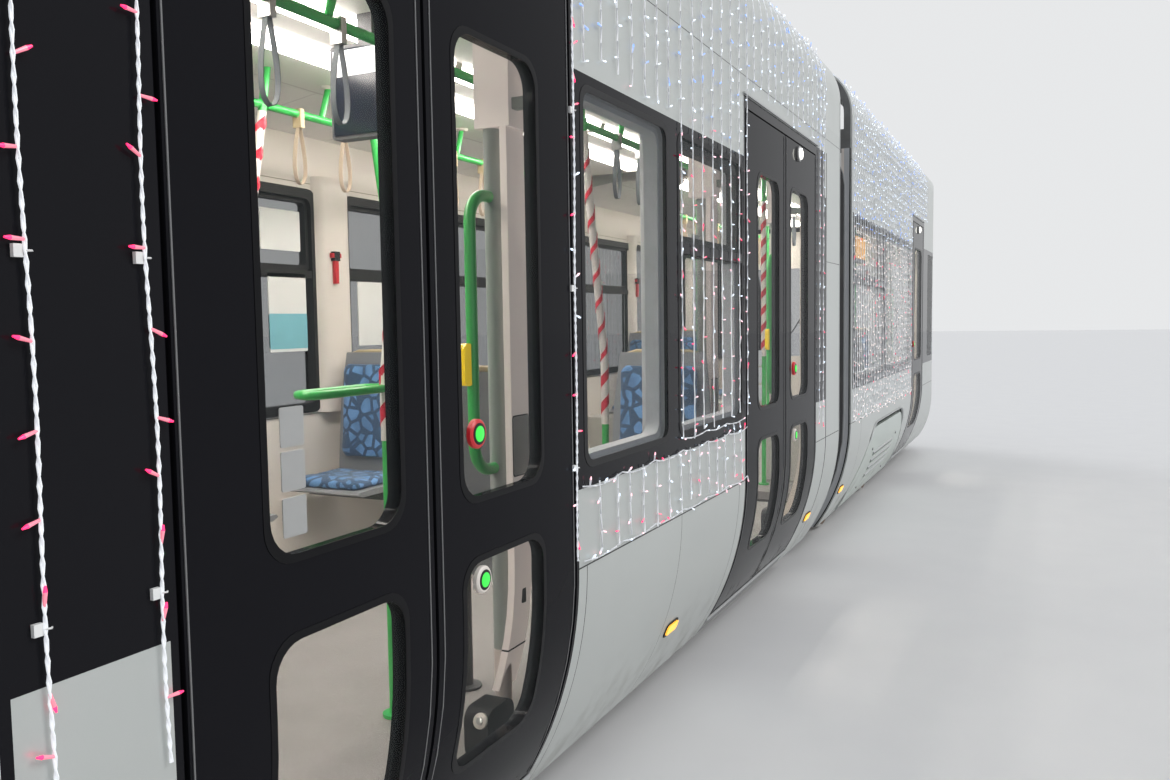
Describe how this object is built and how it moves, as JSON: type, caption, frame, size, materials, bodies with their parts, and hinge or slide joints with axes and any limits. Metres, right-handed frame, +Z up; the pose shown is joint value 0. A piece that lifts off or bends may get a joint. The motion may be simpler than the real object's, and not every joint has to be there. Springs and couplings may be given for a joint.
{
  "type": "low-floor articulated tram",
  "caption": "Silver low-floor articulated tram with black plug doors, bellows gangways, inside-framed bogies and a folded roof pantograph.",
  "frame": {"origin": "under the middle of the middle section, at the lowest point of the wheel flanges", "axes": "+X along the tram towards the leading cab, +Y to its left side (the side with no doors), +Z up"},
  "size_m": [30.12, 2.35, 3.4165],
  "materials": {
    "body_paint": "satin silver paint",
    "roof_paint": "satin silver paint",
    "door_black": "gloss black",
    "window_glass": "tinted",
    "floor_steel": "matt grey",
    "seat_cover": "woven",
    "rail_green": "gloss green",
    "cab_grey": "matt",
    "frame_black": "painted",
    "wheel_steel": "worn",
    "bellows_rubber": "matt",
    "panto_steel": "satin"
  },
  "bodies": {
    "middle_section": {"middle_floor": "floor_steel", "middle_walls": "body_paint", "middle_roof": "roof_paint", "middle_glazing": "window_glass", "middle_seats": "seat_cover", "middle_rails": "rail_green", "middle_bogie_covers": "body_paint", "middle_bogie_frame": "frame_black"},
    "front_door_section": {"front_door_section_floor": "floor_steel", "front_door_section_walls": "body_paint", "front_door_section_roof": "roof_paint", "front_door_section_glazing": "window_glass", "front_door_section_doors": "door_black", "front_door_section_seats": "seat_cover", "front_door_section_rails": "rail_green", "inner_front_bellows": "bellows_rubber"},
    "rear_door_section": {"rear_door_section_floor": "floor_steel", "rear_door_section_walls": "body_paint", "rear_door_section_roof": "roof_paint", "rear_door_section_glazing": "window_glass", "rear_door_section_doors": "door_black", "rear_door_section_seats": "seat_cover", "rear_door_section_rails": "rail_green", "inner_rear_bellows": "bellows_rubber"},
    "front_cab_section": {"front_cab_section_floor": "floor_steel", "front_cab_section_walls": "body_paint", "front_cab_section_roof": "roof_paint", "front_cab_section_glazing": "window_glass", "front_cab_section_door": "door_black", "front_cab_section_seats": "seat_cover", "front_cab_section_rails": "rail_green", "front_cab": "cab_grey", "front_nose": "body_paint", "front_bogie_covers": "body_paint", "front_bogie_frame": "frame_black", "outer_front_bellows": "bellows_rubber"},
    "rear_cab_section": {"rear_cab_section_floor": "floor_steel", "rear_cab_section_walls": "body_paint", "rear_cab_section_roof": "roof_paint", "rear_cab_section_glazing": "window_glass", "rear_cab_section_door": "door_black", "rear_cab_section_seats": "seat_cover", "rear_cab_section_rails": "rail_green", "rear_cab": "cab_grey", "rear_nose": "body_paint", "rear_bogie_covers": "body_paint", "rear_bogie_frame": "frame_black", "outer_rear_bellows": "bellows_rubber"},
    "pantograph_lower_arm": {"pantograph_lower_arm": "panto_steel"},
    "pantograph_upper_arm": {"pantograph_upper_arm": "panto_steel"},
    "pantograph_head": {"pantograph_head": "panto_steel"},
    "middle_front_wheelset": {"middle_front_wheelset": "wheel_steel"},
    "middle_rear_wheelset": {"middle_rear_wheelset": "wheel_steel"},
    "front_leading_wheelset": {"front_leading_wheelset": "wheel_steel"},
    "front_trailing_wheelset": {"front_trailing_wheelset": "wheel_steel"},
    "rear_leading_wheelset": {"rear_leading_wheelset": "wheel_steel"},
    "rear_trailing_wheelset": {"rear_trailing_wheelset": "wheel_steel"}
  },
  "joints": [
    {"name": "inner_front_articulation", "type": "hinge", "parent": "middle_section", "child": "front_door_section", "pos_m": [1.95, 0, 0.275], "axis": [0, 0, 1], "range_deg": [-15, 15], "deforming": ["inner_front_bellows"]},
    {"name": "outer_front_articulation", "type": "hinge", "parent": "front_door_section", "child": "front_cab_section", "pos_m": [8.35, 0, 0.275], "axis": [0, 0, 1], "range_deg": [-15, 15], "deforming": ["outer_front_bellows"]},
    {"name": "inner_rear_articulation", "type": "hinge", "parent": "middle_section", "child": "rear_door_section", "pos_m": [-1.95, 0, 0.275], "axis": [0, 0, 1], "range_deg": [-15, 15], "deforming": ["inner_rear_bellows"]},
    {"name": "outer_rear_articulation", "type": "hinge", "parent": "rear_door_section", "child": "rear_cab_section", "pos_m": [-8.35, 0, 0.275], "axis": [0, 0, 1], "range_deg": [-15, 15], "deforming": ["outer_rear_bellows"]},
    {"name": "middle_front_wheelset_roll", "type": "hinge", "parent": "middle_section", "child": "middle_front_wheelset", "pos_m": [0.9, 0, 0.324], "axis": [0, 1, 0], "continuous": true},
    {"name": "middle_rear_wheelset_roll", "type": "hinge", "parent": "middle_section", "child": "middle_rear_wheelset", "pos_m": [-0.9, 0, 0.324], "axis": [0, 1, 0], "continuous": true},
    {"name": "front_leading_wheelset_roll", "type": "hinge", "parent": "front_cab_section", "child": "front_leading_wheelset", "pos_m": [11.25, 0, 0.324], "axis": [0, 1, 0], "continuous": true},
    {"name": "front_trailing_wheelset_roll", "type": "hinge", "parent": "front_cab_section", "child": "front_trailing_wheelset", "pos_m": [9.45, 0, 0.324], "axis": [0, 1, 0], "continuous": true},
    {"name": "rear_leading_wheelset_roll", "type": "hinge", "parent": "rear_cab_section", "child": "rear_leading_wheelset", "pos_m": [-9.45, 0, 0.324], "axis": [0, 1, 0], "continuous": true},
    {"name": "rear_trailing_wheelset_roll", "type": "hinge", "parent": "rear_cab_section", "child": "rear_trailing_wheelset", "pos_m": [-11.25, 0, 0.324], "axis": [0, 1, 0], "continuous": true},
    {"name": "pantograph_rise", "type": "hinge", "parent": "middle_section", "child": "pantograph_lower_arm", "pos_m": [0.76, 0, 3.125], "axis": [0, 1, 0], "range_deg": [0, 50]},
    {"name": "pantograph_elbow", "type": "hinge", "parent": "pantograph_lower_arm", "child": "pantograph_upper_arm", "pos_m": [-0.7164, 0, 3.22824], "axis": [0, 1, 0], "range_deg": [-100, 0]},
    {"name": "pantograph_head_tilt", "type": "hinge", "parent": "pantograph_upper_arm", "child": "pantograph_head", "pos_m": [0.76, 0, 3.33148], "axis": [0, 1, 0], "range_deg": [0, 50]}
  ],
  "couplings": [
    {"joint": "pantograph_elbow", "follows": "pantograph_rise", "ratio": -2},
    {"joint": "pantograph_head_tilt", "follows": "pantograph_rise", "ratio": 1}
  ]
}
